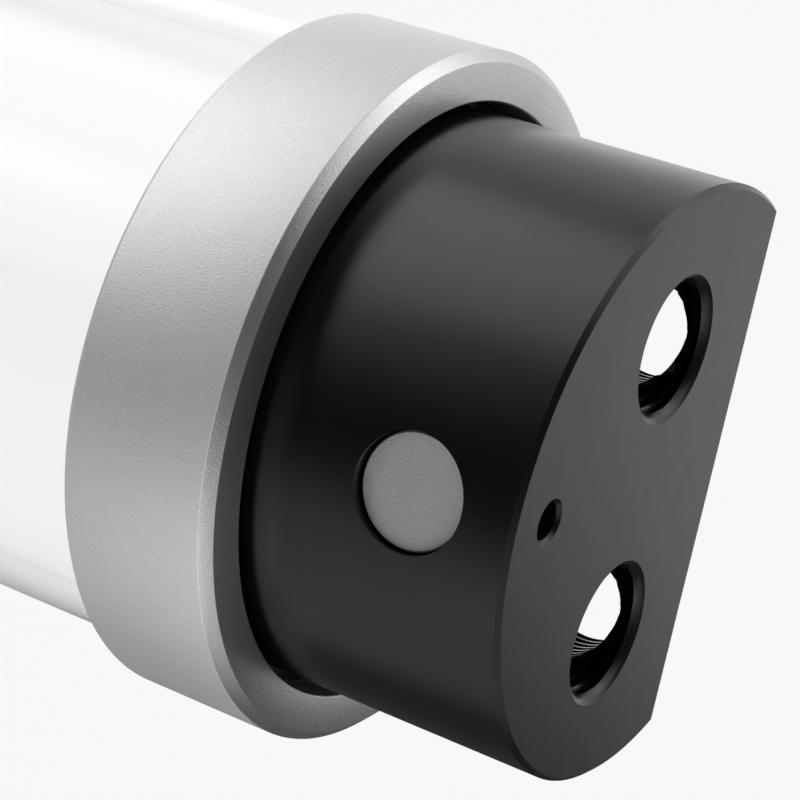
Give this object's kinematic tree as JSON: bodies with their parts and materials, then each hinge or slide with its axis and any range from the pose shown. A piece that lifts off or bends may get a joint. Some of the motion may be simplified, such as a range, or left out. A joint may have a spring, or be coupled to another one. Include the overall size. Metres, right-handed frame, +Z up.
{
  "type": "water cooling reservoir",
  "caption": "Clear glass tube reservoir with black ported end caps that are flat on one side, held on by satin metal screw rings.",
  "frame": {"origin": "centre of the lower end's bounding box, on the surface that the reservoir stands on", "axes": "+Z up along the glass tube, the badges face -Y, the flats with the rear ports face +Y, +X to the right seen from the badges"},
  "size_m": [0.0654, 0.0654, 0.2152],
  "materials": {
    "black_acetal": "satin turned",
    "blasted_aluminium": "bead blasted and clear anodised",
    "turned_aluminium": "turned",
    "white_nylon": "matte",
    "black_rubber": "matte",
    "badge_metal": "blasted",
    "adhesive_foam": "matte",
    "clear_glass": "clear polished"
  },
  "bodies": {
    "reservoir": {"glass_tube": "clear_glass", "top_end_cap": "black_acetal", "top_thrust_washer": "white_nylon", "top_seal_backup_ring": "white_nylon", "top_outer_seal": "black_rubber", "top_tube_end_gasket": "black_rubber", "top_badge_disc": "badge_metal", "top_badge_pad": "adhesive_foam", "top_spigot_seal_near": "black_rubber", "top_spigot_seal_far": "black_rubber", "bottom_end_cap": "black_acetal", "bottom_thrust_washer": "white_nylon", "bottom_seal_backup_ring": "white_nylon", "bottom_outer_seal": "black_rubber", "bottom_tube_end_gasket": "black_rubber", "bottom_badge_disc": "badge_metal", "bottom_badge_pad": "adhesive_foam", "bottom_spigot_seal_near": "black_rubber", "bottom_spigot_seal_far": "black_rubber"},
    "top_ring": {"top_retaining_ring": "blasted_aluminium"},
    "top_collar": {"top_threaded_collar": "turned_aluminium"},
    "bottom_ring": {"bottom_retaining_ring": "blasted_aluminium"},
    "bottom_collar": {"bottom_threaded_collar": "turned_aluminium"}
  },
  "joints": [
    {"name": "top_ring_turn", "type": "hinge", "parent": "reservoir", "child": "top_ring", "pos_m": [0, 0, 0.1829], "axis": [0, 0, 1], "range_deg": [0, 720]},
    {"name": "top_collar_travel", "type": "slide", "parent": "reservoir", "child": "top_collar", "axis": [0, 0, -1], "range_m": [0, 0.002]},
    {"name": "bottom_ring_turn", "type": "hinge", "parent": "reservoir", "child": "bottom_ring", "pos_m": [0, 0, 0.0323], "axis": [0, 0, -1], "range_deg": [0, 720]},
    {"name": "bottom_collar_travel", "type": "slide", "parent": "reservoir", "child": "bottom_collar", "axis": [0, 0, 1], "range_m": [0, 0.002]}
  ],
  "couplings": [
    {"joint": "top_collar_travel", "follows": "top_ring_turn", "m_per_rad": 0.00015915},
    {"joint": "bottom_collar_travel", "follows": "bottom_ring_turn", "m_per_rad": 0.00015915}
  ]
}
